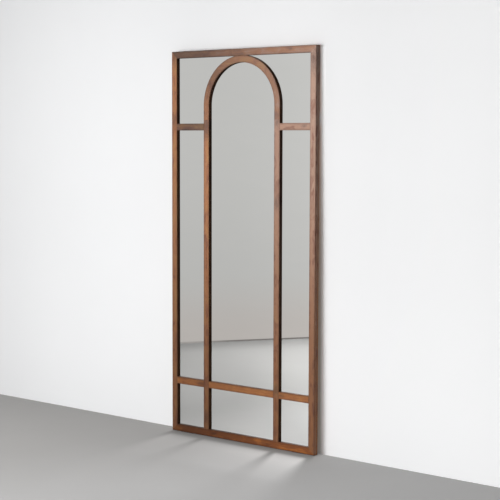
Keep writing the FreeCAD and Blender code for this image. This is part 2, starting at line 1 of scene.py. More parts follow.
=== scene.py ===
"""The arched mirror as photographed: a walnut grille over one mirror sheet, in a pale room."""
import math
from collections import namedtuple

import bmesh
import bpy
from mathutils import Matrix, Vector


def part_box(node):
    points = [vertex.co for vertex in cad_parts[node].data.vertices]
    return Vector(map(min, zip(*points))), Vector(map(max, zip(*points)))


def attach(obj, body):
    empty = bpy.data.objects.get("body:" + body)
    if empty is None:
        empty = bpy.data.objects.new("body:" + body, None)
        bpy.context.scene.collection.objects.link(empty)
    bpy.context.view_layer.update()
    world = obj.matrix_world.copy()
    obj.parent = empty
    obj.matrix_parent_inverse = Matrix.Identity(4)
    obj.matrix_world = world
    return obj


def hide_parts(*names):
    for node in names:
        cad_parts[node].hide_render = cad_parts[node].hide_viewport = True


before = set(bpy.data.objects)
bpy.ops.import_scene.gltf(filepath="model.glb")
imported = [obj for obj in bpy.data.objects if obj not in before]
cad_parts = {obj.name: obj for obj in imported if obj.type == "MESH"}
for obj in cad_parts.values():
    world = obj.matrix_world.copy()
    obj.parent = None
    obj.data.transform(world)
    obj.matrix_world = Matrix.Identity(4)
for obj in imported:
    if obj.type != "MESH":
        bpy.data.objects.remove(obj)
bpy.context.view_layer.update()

# Lengths are in metres and turns in degrees. A ramp is where a change begins and ends, and then its
# values there, unless they are 0 and 1. A pair of colours goes from dark to light.

# The photograph's camera
CAMERA_PLACE = (4.0629, -4.8445, 1.3989)
CAMERA_YAW = 39.6934
CAMERA_PITCH = -4.606
CAMERA_ROLL = 0.1464
CAMERA_LENS_MM = 99.958
SENSOR_MM = 36

# The large soft lamp in front, and one behind for the back
KEY_PLACE = (-0.95, -3.1, 1.48)
KEY_TARGET = (0.0, 0.0, 0.8)
KEY_SPAN = 1.9
KEY_POWER = 109
REAR_PLACE = (-0.9, 3.4, 1.9)
REAR_TARGET = (0.0, 0.0, 0.9)
REAR_SPAN = 1.8
REAR_POWER = 60

# The light that comes from all round, and the backdrop's level for the camera and in the mirror
SKY_BRIGHT_SIDE = (-0.5, 0.85, 0.15)
SKY_LIGHT = (-0.4, 0.9, 0.13, 0.9)
BACKDROP_LEVEL = 0.9
MIRRORED_LEVEL = 0.5

# The floor: its colours and dimming, painted shade to the left and towards the camera, and where it fades
# out
FLOOR_HALF = 14
FLOOR_SHADED_COLOURS = ((0.38, 0.372, 0.364), (0.49, 0.486, 0.482))
FLOOR_ACROSS = (-0.8, 0.4)
FLOOR_CLOUDS = ((0.97,) * 3, (1.03,) * 3)
FLOOR_PAINTED_DIMMING = (-0.5, -1.6, 1.0, 0.84)
FLOOR_FADING = (2.5, 6.5)
MIRRORED_FADING = (3.35, 5.2)

# The light that the panes throw on the floor: their openings, the lamp's blur, its strength from left
# to right and how fast it wanes. Then the frame's shade in front of its foot
PANES_ACROSS = ((-0.393, -0.225), (-0.193, 0.193), (0.225, 0.393))
PANES_UP = ((0.034, 0.231), (0.263, 1.77))
PANE_LAMP = 0.9
PANE_BLUR = 0.004
PANE_LIGHT = (-0.3, 0.45, 0.65, 1.9)
PANE_WANING = 12.0
FRAME_ACROSS = (-0.425, 0.425)
FOOT_SHADE = (0.0, 0.18, 0.3, 0.0)

# The floor's brightness in the mirror: more at the foot, lifted half way out, less along the side wall.
# SIGHT_SLOPE takes a point of the floor to the place across the mirror where the photograph shows it
FOOT_ACROSS = (-0.75, 0.15, 1.0, 1.85)
FOOT_REACH = (-1.4, 0.0)
SIGHT_SLOPE = -0.8
LIFT_ACROSS = (-0.1, 0.45, 0.0, 0.26)
LIFT_FAR = (-2.3, -1.3)
LIFT_NEAR = (-0.3, -0.9)
SIDE_SHADE_ACROSS = (0.1, 0.4, 0.79, 1.0)
SIDE_SHADE_REACH = (0.0, 0.45)

# The white wall behind: its place, its colours from left to right, darker on the left, its brightening
# towards
# the floor and its glow towards the right: painted shade and light that even out the lamp's falloff
WALL_FOOT = 0.04
WALL_TURN = -0.67
WALL_LEAN = 0.55
WALL_HALF = 3.0
WALL_HEIGHT = 6
WALL_FADING = (1.9, WALL_HALF)
WALL_SHADED_COLOURS = ((0.74, 0.745, 0.753), (0.88, 0.884, 0.892))
WALL_ACROSS = (-0.4, 0.6)
WALL_CLOUDS = ((0.985,) * 3, (1.015,) * 3)
WALL_PAINTED_BRIGHTENING = (1.2, 0.0, 1.0, 1.1)
WALL_GLOW = (0.45, 1.4, 0.0, 0.18)

# The strip of that wall beside the frame's right edge: a tint against the wood's light, and a glow
STRIP_TOP = (1.81, 1.79)
TINT = (0.8, 0.94, 1.0)
TINT_BEGINS = 0.405
TINT_ENDS = (0.437, 0.42)
TINT_UP = (1.5, 0.6, 0.3, 1.0)
GLOW_BEGINS = (0.416, 0.432)
GLOW_ENDS = (0.456, 0.437)
GLOW_UP = (0.8, 1.9, 0.1, 0.34)

# The grey side wall that the mirror reflects, glowing with painted light, and the painted shade along its
# foot
SIDE_WALL_FOOT = (-2.05, -2.47)
SIDE_WALL_TURN = -56.2
SIDE_WALL_HALF = 2.2
SIDE_WALL_HEIGHT = 3.2
SIDE_WALL_COLOURS = ((1.0, 0.93, 0.885), (1.0, 0.985, 0.96))
SIDE_WALL_TINTING = (0.05, 0.5)
SIDE_WALL_LEVEL = (0.0, 1.4, 0.5, 0.56)
SIDE_WALL_RIGHT = (-2.3, -3.1, 0.0, 0.06)
SIDE_FOOT_SHADE_UP = (0.009, 0.0117)
SIDE_FOOT_SHADE = (-2.15, -2.45, 0.74, 0.42)

# Where the hangers are: the eye's centre, and how far below it their screws sit
EYE_X = 0.414
EYE_Y = 0.01375
EYE_Z = 1.502
SCREW_DROPS = (0.021, 0.03528)
PLATE_FACE = 0.0122

# The bent ring: half its width, its corners, legs and wire, and the handle of a round Bezier quarter
RING_HALF = 0.0085
RING_CORNER = 0.0025
RING_LEG = 0.006
RING_WIRE = 0.0025
ARC_HANDLE = 0.5523

# A countersunk screw with a cross recess, which narrows to its bottom
SCREW_HEAD = 0.005
SCREW_SHANK = 0.003
SCREW_LENGTH = 0.016
SCREW_SIDES = 32
SHARP_ANGLE = 30
RECESS_DEPTH = 0.0007
RECESS_SPAN = 0.003
RECESS_WIDTH = 0.0007
RECESS_BOTTOM_SPAN = RECESS_SPAN / 2
RECESS_BOTTOM_WIDTH = RECESS_WIDTH * 2 / 3

# Walnut stains, as the surface's own colour, but the rose stain is partly and the palest wholly a painted
# sheen
DEEP = (0.08, 0.026, 0.009)
EMBER = (0.19, 0.058, 0.014)
RED = (0.2, 0.062, 0.02)
AMBER = (0.33, 0.112, 0.024)
ORANGE = (0.33, 0.122, 0.036)
HONEY = (0.37, 0.145, 0.034)
GOLD = (0.36, 0.16, 0.045)
ROSE_AND_SHEEN = (0.36, 0.175, 0.1)
PAINTED_SHEEN = (0.36, 0.198, 0.127)
KNOT_BROWN = (0.06, 0.019, 0.008)

# The walnut's figure: how patches and streaks choose the stain, and its fibres, pores and knots
PATCH_SHARE = 0.62
DARK_TO_MIDDLE = (0.36, 0.5)
MIDDLE_TO_LIGHT = (0.5, 0.64)
FIBRE_TONES = ((0.72, 0.7, 0.68), (1.25, 1.27, 1.3))
FIBRE_RELIEF = 0.5
FIBRE_ROUGHNESS = (0.2, 0.8, 0.5, 0.36)
PORES = (0.62, 0.72)
PORE_DEPTH = 0.5
KNOT_LENGTH = 1.6
KNOT_WIDTH = 0.7
KNOT_RAGGEDNESS = 130
KNOT_FADING = (1.6, 0.5)
KNOT_DEPTH = 0.6
BOARD_STEP = Vector((1.7, 1.0, 2.3))

# The walnut's faces: darker along the arrises, the sides given a painted shade that darkens towards the
# top, and the edges that look into a pane nearly black, less so where they look up. Normals tell the faces
# apart
ARRIS_DARKENING = (0.35, 1.1, 0.0, 0.5)
SIDE_PAINTED_SHADE = (0.92, 0.72)
INNER_EDGE_SHARE = 0.2
UPPER_EDGE_SHADE = 0.5
FRONT_FACING = (0.1, 0.4)
SQUARE_FACING = (0.6, 0.9)
INWARD_FACING = (0.8, 0.95)

# The other materials' colours and patterns
BEAD_WOOD = ((0.4, 0.265, 0.145), (0.55, 0.4, 0.25))
BEECH_WOOD = ((0.5, 0.34, 0.2), (0.62, 0.45, 0.28))
RAW_FIBRES = ((0.84, 0.82, 0.8), (1.12, 1.12, 1.12))
RAW_SEED = 3.0
HARDBOARD = ((0.2, 0.115, 0.06), (0.36, 0.225, 0.125))
HARDBOARD_CLOUDS = ((0.86, 0.85, 0.84), (1.12, 1.12, 1.12))
FLECKS = (0.3, 0.75)
WEAVE_PITCH = 0.0022
WEAVE_FLECKS = 1.5
SILVER = ((0.9, 0.915, 0.91), (0.93, 0.94, 0.937))
WIPED_ROUGHNESS = (0.3, 0.8, 0.0, 0.016)
ZINC = ((0.5, 0.51, 0.53), (0.72, 0.73, 0.74))
BRIGHT_STEEL = ((0.42, 0.42, 0.43), (0.58, 0.58, 0.59))
RUBBER = ((0.025, 0.025, 0.026), (0.07, 0.068, 0.065))
DUST = (0.5, 0.8)
NOISE_RANGE = (0.3, 0.7)
WHITE = (1.0, 1.0, 1.0, 1.0)

# The arch's centre above the floor, its middle line's radius and half its width
ARCH = ("arch_crown", "left_haunch", "right_haunch")
ARCH_Z = 1.547
ARCH_RADIUS = 0.209
ARCH_HALF = 0.016

# How a board lies: its turn from upright, and where a frame member's inner edge faces
UP, ALONG, LEFT_LEAN, RIGHT_LEAN = 0, 90, -18, 18
RIGHTWARDS, LEFTWARDS, UPWARDS, DOWNWARDS = (1, 0, 0), (-1, 0, 0), (0, 0, 1), (0, 0, -1)

# Each board's stains from dark to light, their tones at its lower or left end and at the other, its knots,
# its sheen, and the colour of the painted sheen that it turns to at that other end
Knot = namedtuple("Knot", "x z reach")
Board = namedtuple("Board", "node turn stains tones inward knots sheen faded",
                   defaults=(None, (), 0.4, None))
# Upper right boards: the rose stain is partly a painted sheen, and two boards turn to one at their upper
# ends
BOARDS = (
    Board("left_stile", UP, (RED, ORANGE, GOLD), (0.45, 0.92), RIGHTWARDS,
          knots=(Knot(-0.409, 1.48, 0.03), Knot(-0.409, 1.78, 0.045))),
    Board("right_stile", UP, (RED, ORANGE, ORANGE), (0.64, 1.12), LEFTWARDS,
          knots=(Knot(0.409, 1.74, 0.05),), faded=PAINTED_SHEEN),
    Board("top_rail", ALONG, (RED, ORANGE, ROSE_AND_SHEEN), (0.24, 0.84), DOWNWARDS,
          knots=(Knot(0.285, 1.79, 0.012),)),
    Board("bottom_rail", ALONG, (EMBER, EMBER, AMBER), (0.4, 1.1), UPWARDS,
          knots=(Knot(0.165, 0.014, 0.02), Knot(-0.16, 0.02, 0.02)), sheen=0.22),
    Board("arch_crown", ALONG, (RED, ORANGE, GOLD), (0.58, 0.74)),
    Board("left_haunch", LEFT_LEAN, (RED, ORANGE, ORANGE), (0.8, 0.44)),
    Board("right_haunch", RIGHT_LEAN, (RED, ORANGE, ROSE_AND_SHEEN), (0.75, 0.7)),
    Board("left_upright", UP, (RED, ORANGE, GOLD), (0.44, 1.02),
          knots=(Knot(-0.209, 1.45, 0.055), Knot(-0.209, 1.458, 0.045), Knot(-0.209, 0.09, 0.03))),
    Board("right_upright", UP, (RED, ORANGE, GOLD), (0.62, 0.86),
          knots=(Knot(0.209, 1.47, 0.02), Knot(0.209, 1.11, 0.03), Knot(0.209, 0.27, 0.025)), faded=ROSE_AND_SHEEN),
    Board("upper_left_crossbar", ALONG, (DEEP, RED, GOLD), (0.46, 0.38)),
    Board("upper_right_crossbar", ALONG, (RED, ROSE_AND_SHEEN, ROSE_AND_SHEEN), (0.92, 0.92),
          knots=(Knot(0.36, 1.452, 0.014),)),
    Board("lower_crossbar", ALONG, (EMBER, AMBER, HONEY), (0.62, 0.92),
          knots=(Knot(-0.24, 0.247, 0.026), Knot(0.24, 0.247, 0.018))),
)


# Node trees

def add(tree, kind, inputs=None, **settings):
    """A node with its settings, whose inputs are values or other nodes' outputs."""
    node = tree.nodes.new(kind)
    for name, setting in settings.items():
        setattr(node, name, setting)
    for name, source in (inputs or {}).items():
        feed(tree, node.inputs[name], source)
    return node


def feed(tree, socket, source):
    """Sets an input from another node's output, or from a plain value."""
    if isinstance(source, bpy.types.NodeSocket):
        tree.links.new(source, socket)
    else:
        socket.default_value = source


def calc(tree, operation, *values):
    """Arithmetic on one, two or three values."""
    return add(tree, "ShaderNodeMath", dict(enumerate(values)), operation=operation).outputs[0]


def product(tree, first, *others):
    for other in others:
        first = calc(tree, "MULTIPLY", first, other)
    return first


def spread(tree, value, low, high, start=0.0, end=1.0):
    """Eases from start to end as the value goes from low to high."""
    inputs = {"Value": value, "From Min": low, "From Max": high, "To Min": start, "To Max": end}
    return add(tree, "ShaderNodeMapRange", inputs, interpolation_type="SMOOTHSTEP").outputs[0]


def mix(tree, share, first, second):
    """Two numbers mixed by a share."""
    return add(tree, "ShaderNodeMix", {0: share, 2: first, 3: second}).outputs[0]


def blend(tree, share, first, second, kind="MIX"):
    """Two colours mixed, or multiplied, by a share."""
    first, second = (c if isinstance(c, bpy.types.NodeSocket) else (*c, 1.0) for c in (first, second))
    inputs = {0: share, 6: first, 7: second}
    return add(tree, "ShaderNodeMix", inputs, data_type="RGBA", blend_type=kind).outputs[2]


def mottle(tree, colour, share, low, high):
    """A colour made darker and lighter by a pattern."""
    return blend(tree, 1.0, colour, blend(tree, share, low, high), "MULTIPLY")


def vectors(tree, operation, *values):
    """Vector arithmetic: a length or a dot product is a number, and all else a vector."""
    node = add(tree, "ShaderNodeVectorMath", dict(enumerate(values)), operation=operation)
    return node.outputs["Value" if operation in ("LENGTH", "DOT_PRODUCT") else "Vector"]


def scaled(tree, vector, scale):
    return vectors(tree, "MULTIPLY", vector, scale)


def parts_of(tree, vector):
    return add(tree, "ShaderNodeSeparateXYZ", {0: vector}).outputs


def noise(tree, vector, scale, detail=2.0, distortion=0.0):
    """A cloudy pattern whose scale is one number, or one for each axis."""
    scale = scale if isinstance(scale, tuple) else (scale,) * 3
    where = scaled(tree, vector, scale)
    inputs = {"Vector": where, "Scale": 1.0, "Detail": detail, "Distortion": distortion}
    return add(tree, "ShaderNodeTexNoise", inputs).outputs[0]


def place_in(tree):
    """The surface point in the part's own frame."""
    return add(tree, "ShaderNodeTexCoord").outputs["Object"]


def normal_in(tree):
    return add(tree, "ShaderNodeNewGeometry").outputs["True Normal"]


def material(name):
    """A new material, its node tree and its shader."""
    made = bpy.data.materials.new(name)
    made.use_nodes = True
    return made, made.node_tree, made.node_tree.nodes["Principled BSDF"]


def finish_surface(tree, shader, colour, roughness, height, strength, depth):
    """Links a shader's colour and roughness, and a bump of this strength and depth."""
    bump = add(tree, "ShaderNodeBump", {"Strength": strength, "Distance": depth, "Height": height})
    feed(tree, shader.inputs["Base Color"], colour)
    feed(tree, shader.inputs["Roughness"], roughness)
    feed(tree, shader.inputs["Normal"], bump.outputs[0])


def dress(name, made):
    """Gives a CAD node a material."""
    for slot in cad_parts[name].material_slots:
        slot.material = made


# Wood

def grain_frame(tree, turn, seed):
    """The surface point turned so that the grain runs along Z, and moved to a board of its own."""
    rotation = (0.0, math.radians(turn), 0.0)
    inputs = {"Vector": place_in(tree), "Rotation": rotation, "Location": seed * BOARD_STEP}
    return add(tree, "ShaderNodeMapping", inputs).outputs[0]


def knot_mask(tree, knot, turn):
    """1 at a knot's heart, fading to 0 where the grain has closed round it."""
    place = place_in(tree)
    away = vectors(tree, "SUBTRACT", place, (knot.x, 0.0, knot.z))
    long, across = 1 / (KNOT_LENGTH * knot.reach), 1 / (KNOT_WIDTH * knot.reach)
    flat = scaled(tree, away, (long, 0.0, across) if turn == ALONG else (across, 0.0, long))
    ragged = calc(tree, "ADD", vectors(tree, "LENGTH", flat), noise(tree, place, KNOT_RAGGEDNESS))
    return spread(tree, ragged, *KNOT_FADING)


def inner_edge(tree, inward):
    """1 on the faces that look into a pane, by the way that they face, and less on those that look up."""
    normal = normal_in(tree)
    parts = parts_of(tree, normal)
    if inward is None:
        facing = spread(tree, calc(tree, "ABSOLUTE", parts["Y"]), *reversed(FRONT_FACING))
    else:
        facing = spread(tree, vectors(tree, "DOT_PRODUCT", normal, inward), *INWARD_FACING)
    return product(tree, facing, spread(tree, parts["Z"], *SQUARE_FACING, 1.0, UPPER_EDGE_SHADE))


def extent(board, axis):
    """Where a board begins and ends along an axis."""
    return [corner["XYZ".index(axis)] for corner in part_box(board.node)]


def way_along(tree, board):
    """Where a point lies along its board, and where the board begins and ends."""
    axis = "X" if board.turn == ALONG else "Z"
    return parts_of(tree, place_in(tree))[axis], *extent(board, axis)


def tone_along(tree, board):
    """The tone from the board's lower or left end to the other, with a painted shade on its sides."""
    where, low, high = way_along(tree, board)
    sideways = calc(tree, "ABSOLUTE", parts_of(tree, normal_in(tree))["X"])
    faces = spread(tree, where, low, high, *board.tones)
    # The sides get a painted shade that darkens towards the top
    shaded_sides = spread(tree, where, (low + high) / 2, high, *SIDE_PAINTED_SHADE)
    return mix(tree, spread(tree, sideways, *SQUARE_FACING), faces, shaded_sides)


def off_middle(tree, board):
    """How far a point lies from its board's middle line, as a share of half the board's width."""
    parts = parts_of(tree, place_in(tree))
    if board.node in ARCH:
        rise = calc(tree, "MAXIMUM", calc(tree, "SUBTRACT", parts["Z"], ARCH_Z), 0.0)
        spoke = add(tree, "ShaderNodeCombineXYZ", {0: parts["X"], 1: rise}).outputs[0]
        off, half = calc(tree, "SUBTRACT", vectors(tree, "LENGTH", spoke), ARCH_RADIUS), ARCH_HALF
    else:
        axis = "Z" if board.turn == ALONG else "X"
        low, high = extent(board, axis)
        off, half = calc(tree, "SUBTRACT", parts[axis], (low + high) / 2), (high - low) / 2
    return calc(tree, "DIVIDE", calc(tree, "ABSOLUTE", off), half)


def arris_darkening(tree, board):
    """Where the wood is darker: along the long arrises of the front and the back."""
    facing = spread(tree, calc(tree, "ABSOLUTE", parts_of(tree, normal_in(tree))["Y"]), *FRONT_FACING)
    return product(tree, spread(tree, off_middle(tree, board), *ARRIS_DARKENING), facing)


def walnut(board, seed):
    """Satin walnut: mottled and streaked along its grain, with pores and knots."""
    made, tree, shader = material(f"walnut_{board.node}")
    grain = grain_frame(tree, board.turn, seed)
    patches = noise(tree, grain, (30, 30, 15), detail=3.0, distortion=0.8)
    streaks = noise(tree, grain, (140, 140, 4), detail=3.0, distortion=0.4)
    fibres = noise(tree, grain, (700, 700, 11))
    pores = spread(tree, noise(tree, grain, (1500, 1500, 45), detail=1.0), *PORES)
    figure = mix(tree, PATCH_SHARE, streaks, patches)

    dark, middle, light = board.stains
    # Towards its other end the board turns to a painted sheen
    if board.faded:
        share = spread(tree, *way_along(tree, board))
        middle, light = (blend(tree, share, stain, board.faded) for stain in (middle, light))
    colour = blend(tree, spread(tree, figure, *DARK_TO_MIDDLE), dark, middle)
    colour = blend(tree, spread(tree, figure, *MIDDLE_TO_LIGHT), colour, light)
    colour = mottle(tree, colour, fibres, *FIBRE_TONES)
    colour = blend(tree, product(tree, pores, PORE_DEPTH), colour, KNOT_BROWN)
    for knot in board.knots:
        heart = knot_mask(tree, knot, board.turn)
        colour = blend(tree, product(tree, heart, KNOT_DEPTH), colour, KNOT_BROWN)
    colour = blend(tree, arris_darkening(tree, board), colour, DEEP)
    colour = scaled(tree, colour, tone_along(tree, board))
    edge = inner_edge(tree, board.inward)
    colour = blend(tree, edge, colour, scaled(tree, colour, (INNER_EDGE_SHARE,) * 3))

    roughness = calc(tree, "MAXIMUM", spread(tree, fibres, *FIBRE_ROUGHNESS), edge)
    height = calc(tree, "SUBTRACT", product(tree, fibres, FIBRE_RELIEF), pores)
    finish_surface(tree, shader, colour, roughness, height, strength=0.35, depth=0.0002)
    shader.inputs["Specular IOR Level"].default_value = board.sheen
    return made


def raw_wood(name, turn, colours):
    """Planed wood with no finish."""
    made, tree, shader = material(name)
    grain = grain_frame(tree, turn, RAW_SEED)
    streaks = noise(tree, grain, (160, 160, 3), detail=4.0, distortion=0.4)
    fibres = noise(tree, grain, (900, 900, 14))
    colour = blend(tree, spread(tree, streaks, *NOISE_RANGE), *colours)
    colour = mottle(tree, colour, fibres, *RAW_FIBRES)
    roughness = spread(tree, streaks, *NOISE_RANGE, start=0.75, end=0.62)
    finish_surface(tree, shader, colour, roughness, fibres, strength=0.4, depth=0.0002)
    return made


def hardboard():
    """Pressed fibre board, its rough side out: flecked, with the press screen's fine weave."""
    made, tree, shader = material("hardboard")
    place = place_in(tree)
    flecks = noise(tree, place, 800, detail=3.0, distortion=0.6)
    colour = blend(tree, spread(tree, flecks, *FLECKS), *HARDBOARD)
    colour = mottle(tree, colour, noise(tree, place, 7, detail=3.0), *HARDBOARD_CLOUDS)
    parts = parts_of(tree, place)
    turns = 2 * math.pi / WEAVE_PITCH
    warp, weft = (calc(tree, "SINE", product(tree, parts[axis], turns)) for axis in "XZ")
    weave = calc(tree, "MULTIPLY_ADD", flecks, WEAVE_FLECKS, product(tree, warp, weft))
    roughness = spread(tree, flecks, *NOISE_RANGE, start=0.88, end=0.7)
    finish_surface(tree, shader, colour, roughness, weave, strength=0.35, depth=0.0003)
    return made


# Glass, metal and rubber

def silvered_glass():
    """A clean mirror with the faint drag marks of wiping."""
    made, tree, shader = material("silvered_glass")
    wiped = noise(tree, place_in(tree), (2.5, 2.5, 9), detail=3.0, distortion=1.2)
    feed(tree, shader.inputs["Base Color"], blend(tree, wiped, *SILVER))
    feed(tree, shader.inputs["Roughness"], spread(tree, wiped, *WIPED_ROUGHNESS))
    shader.inputs["Metallic"].default_value = 1.0
    return made


def steel(name, colours, rough, smooth):
    """Plated or drawn steel: cloudy, finely scratched, duller where it is handled."""
    made, tree, shader = material(name)
    place = place_in(tree)
    clouds = noise(tree, place, 260, detail=4.0, distortion=0.5)
    scratches = noise(tree, place, (2600, 2600, 180))
    colour = blend(tree, clouds, *colours)
    roughness = spread(tree, clouds, *NOISE_RANGE, start=rough, end=smooth)
    finish_surface(tree, shader, colour, roughness, scratches, strength=0.2, depth=0.0001)
    shader.inputs["Metallic"].default_value = 1.0
    return made


def rubber():
    """Matt black rubber with a moulded skin and a little dust."""
    made, tree, shader = material("rubber")
    place = place_in(tree)
    moulded = noise(tree, place, 1800, detail=3.0)
    colour = blend(tree, spread(tree, noise(tree, place, 120, detail=4.0), *DUST), *RUBBER)
    roughness = spread(tree, moulded, *NOISE_RANGE, start=0.72, end=0.9)
    finish_surface(tree, shader, colour, roughness, moulded, strength=0.4, depth=0.0002)
    return made


# Pieces that replace plain solids

def keep(name, mesh, body, node, made):
    """Puts a made mesh in the scene in a node's stead."""
    piece = bpy.data.objects.new(name, mesh)
    bpy.context.scene.collection.objects.link(piece)
    mesh.materials.append(made)
    mesh.shade_smooth()
    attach(piece, body)
    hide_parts(node)


def bent_wire(name):
    """A closed D of round wire hanging from its straight bar, about the eye's centre."""
    curve = bpy.data.curves.new(name, "CURVE")
    curve.dimensions = "3D"
    curve.bevel_depth = RING_WIRE / 2
    curve.bevel_resolution = 6
    curve.resolution_u = 12
    bar, corner, bow = RING_HALF - RING_CORNER, ARC_HANDLE * RING_CORNER, ARC_HANDLE * RING_HALF
    knots = [
        ((-bar, 0), (-bar - corner, 0), (0, 0)),
        ((bar, 0), (0, 0), (bar + corner, 0)),
        ((RING_HALF, -RING_CORNER), (RING_HALF, corner - RING_CORNER), (RING_HALF, -RING_LEG)),
        ((RING_HALF, -RING_LEG), (RING_HALF, -RING_CORNER), (RING_HALF, -RING_LEG - bow)),
        ((0, -RING_LEG - RING_HALF), (bow, -RING_LEG - RING_HALF), (-bow, -RING_LEG - RING_HALF)),
        ((-RING_HALF, -RING_LEG), (-RING_HALF, -RING_LEG - bow), (-RING_HALF, -RING_CORNER)),
        ((-RING_HALF, -RING_CORNER), (-RING_HALF, -RING_LEG), (-RING_HALF, corner - RING_CORNER)),
    ]
    spline = curve.splines.new("BEZIER")
    spline.bezier_points.add(len(knots) - 1)
    spline.use_cyclic_u = True
    for point, (place, before, after) in zip(spline.bezier_points, knots):
        point.co = (place[0], 0, place[1])
        point.handle_left = (before[0], 0, before[1])
        point.handle_right = (after[0], 0, after[1])
    return curve


def hanger_ring(side, sign, made):
    shaper = bpy.data.objects.new(f"{side}_wire_shaper", bent_wire(f"{side}_wire"))
    mesh = bpy.data.meshes.new_from_object(shaper)
    bpy.data.objects.remove(shaper)
    mesh.transform(Matrix.Translation((sign * EYE_X, EYE_Y, EYE_Z)))
    keep(f"{side}_d_ring", mesh, f"{side}_ring", f"{side}_hanger_ring", made)


def circle(diameter):
    """The corners of a screw's round outline, in order."""
    turns = (2 * math.pi * index / SCREW_SIDES for index in range(SCREW_SIDES))
    return [(diameter / 2 * math.cos(turn), diameter / 2 * math.sin(turn)) for turn in turns]


def cross(span, width):
    """The twelve corners of a cross, in order."""
    arm = [(span / 2, -width / 2), (span / 2, width / 2), (width / 2, width / 2)]
    quarters = [Matrix.Rotation(quarter * math.pi / 2, 2) for quarter in range(4)]
    return [quarter @ Vector(corner) for quarter in quarters for corner in arm]


def ring_of(mesh, points, depth):
    return [mesh.verts.new((x, y, -depth)) for x, y in points]


def skin(mesh, upper, lower):
    """Joins two closed rows of corners, one below the other."""
    for index in range(len(upper)):
        after = (index + 1) % len(upper)
        mesh.faces.new((upper[index], lower[index], lower[after], upper[after]))


def add_screw(mesh, spot):
    """A countersunk screw from its head's top down, with its cross recess, turned to look along +Y."""
    first = len(mesh.verts)
    rim = ring_of(mesh, circle(SCREW_HEAD), 0)
    neck = ring_of(mesh, circle(SCREW_SHANK), (SCREW_HEAD - SCREW_SHANK) / 2)
    tip = ring_of(mesh, circle(SCREW_SHANK), SCREW_LENGTH)
    skin(mesh, rim, neck)
    skin(mesh, neck, tip)
    mesh.faces.new(tip)
    mouth = ring_of(mesh, cross(RECESS_SPAN, RECESS_WIDTH), 0)
    bottom = ring_of(mesh, cross(RECESS_BOTTOM_SPAN, RECESS_BOTTOM_WIDTH), RECESS_DEPTH)
    skin(mesh, bottom, mouth)
    mesh.faces.new(reversed(bottom))
    edges = [mesh.edges.get((row[i], row[i - 1])) for row in (rim, mouth) for i in range(len(row))]
    bmesh.ops.triangle_fill(mesh, use_beauty=True, edges=edges)
    mesh.verts.ensure_lookup_table()
    turned = Matrix.Translation(spot) @ Matrix.Rotation(-math.pi / 2, 4, "X")
    bmesh.ops.transform(mesh, matrix=turned, verts=mesh.verts[first:])


def hanger_screws(made):
    solid = bmesh.new()
    for sign in (-1, 1):
        for drop in SCREW_DROPS:
            add_screw(solid, Vector((sign * EYE_X, PLATE_FACE, EYE_Z - drop)))
    bmesh.ops.recalc_face_normals(solid, faces=solid.faces)
    mesh = bpy.data.meshes.new("cross_head_screws")
    solid.to_mesh(mesh)
    solid.free()
    keep("cross_head_screws", mesh, "mirror", "hanger_screws", made)
    mesh.set_sharp_from_angle(angle=math.radians(SHARP_ANGLE))


# The room

def panel(name, corners, made):
    """A flat stage piece from its four corners."""
    mesh = bpy.data.meshes.new(name)
    mesh.from_pydata(corners, [], [(0, 1, 2, 3)])
    mesh.materials.append(made)
    piece = bpy.data.objects.new(name, mesh)
    bpy.context.scene.collection.objects.link(piece)
    return piece


def show(tree, shader):
    """Makes a shader what the material shows."""
    feed(tree, tree.nodes["Material Output"].inputs["Surface"], shader.outputs[0])


def one_sided(tree, shader, faded=0.0):
    """Lets a panel be looked through from behind, and where it fades out."""
    behind = add(tree, "ShaderNodeNewGeometry").outputs["Backfacing"]
    clear = add(tree, "ShaderNodeBsdfTransparent")
    share = calc(tree, "MAXIMUM", behind, faded)
    show(tree, add(tree, "ShaderNodeMixShader", {0: share, 1: shader.outputs[0], 2: clear.outputs[0]}))


def let_light_past(piece):
    """Keeps a panel from shading the rest and from lighting it."""
    piece.visible_shadow = False
    piece.visible_diffuse = False


def through(tree, value, openings, blur):
    """How much of a blurred lamp is seen through a row of openings."""
    share = 0.0
    for opening in openings:
        edges = [(calc(tree, "SUBTRACT", edge, blur), calc(tree, "ADD", edge, blur)) for edge in opening]
        opened, shut = (spread(tree, value, *edge) for edge in edges)
        share = calc(tree, "ADD", share, calc(tree, "SUBTRACT", opened, shut))
    return share


def thrown_light(tree, parts):
    """The lamp's light that the panes throw on the floor, and the shade at the foot, as one factor."""
    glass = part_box("mirror_glass")[0][1]
    image = Vector((KEY_PLACE[0], 2 * glass - KEY_PLACE[1], KEY_PLACE[2]))
    ahead = calc(tree, "SUBTRACT", glass, parts["Y"])
    in_front = calc(tree, "GREATER_THAN", ahead, 0.0)
    way = calc(tree, "DIVIDE", ahead, calc(tree, "SUBTRACT", image.y, parts["Y"]))
    across = calc(tree, "MULTIPLY_ADD", way, calc(tree, "SUBTRACT", image.x, parts["X"]), parts["X"])
    blur = calc(tree, "MULTIPLY_ADD", way, PANE_LAMP / 2, PANE_BLUR)
    columns = through(tree, across, PANES_ACROSS, blur)
    rows = through(tree, product(tree, way, image.z), PANES_UP, blur)
    waned = calc(tree, "POWER", calc(tree, "SUBTRACT", 1.0, way), PANE_WANING)
    gain = product(tree, waned, in_front, spread(tree, parts["X"], *PANE_LIGHT))
    lit = calc(tree, "MULTIPLY_ADD", product(tree, columns, rows), gain, 1.0)
    beside = through(tree, across, (FRAME_ACROSS,), blur)
    shade = product(tree, beside, in_front, spread(tree, ahead, *FOOT_SHADE))
    return product(tree, lit, calc(tree, "SUBTRACT", 1.0, shade))


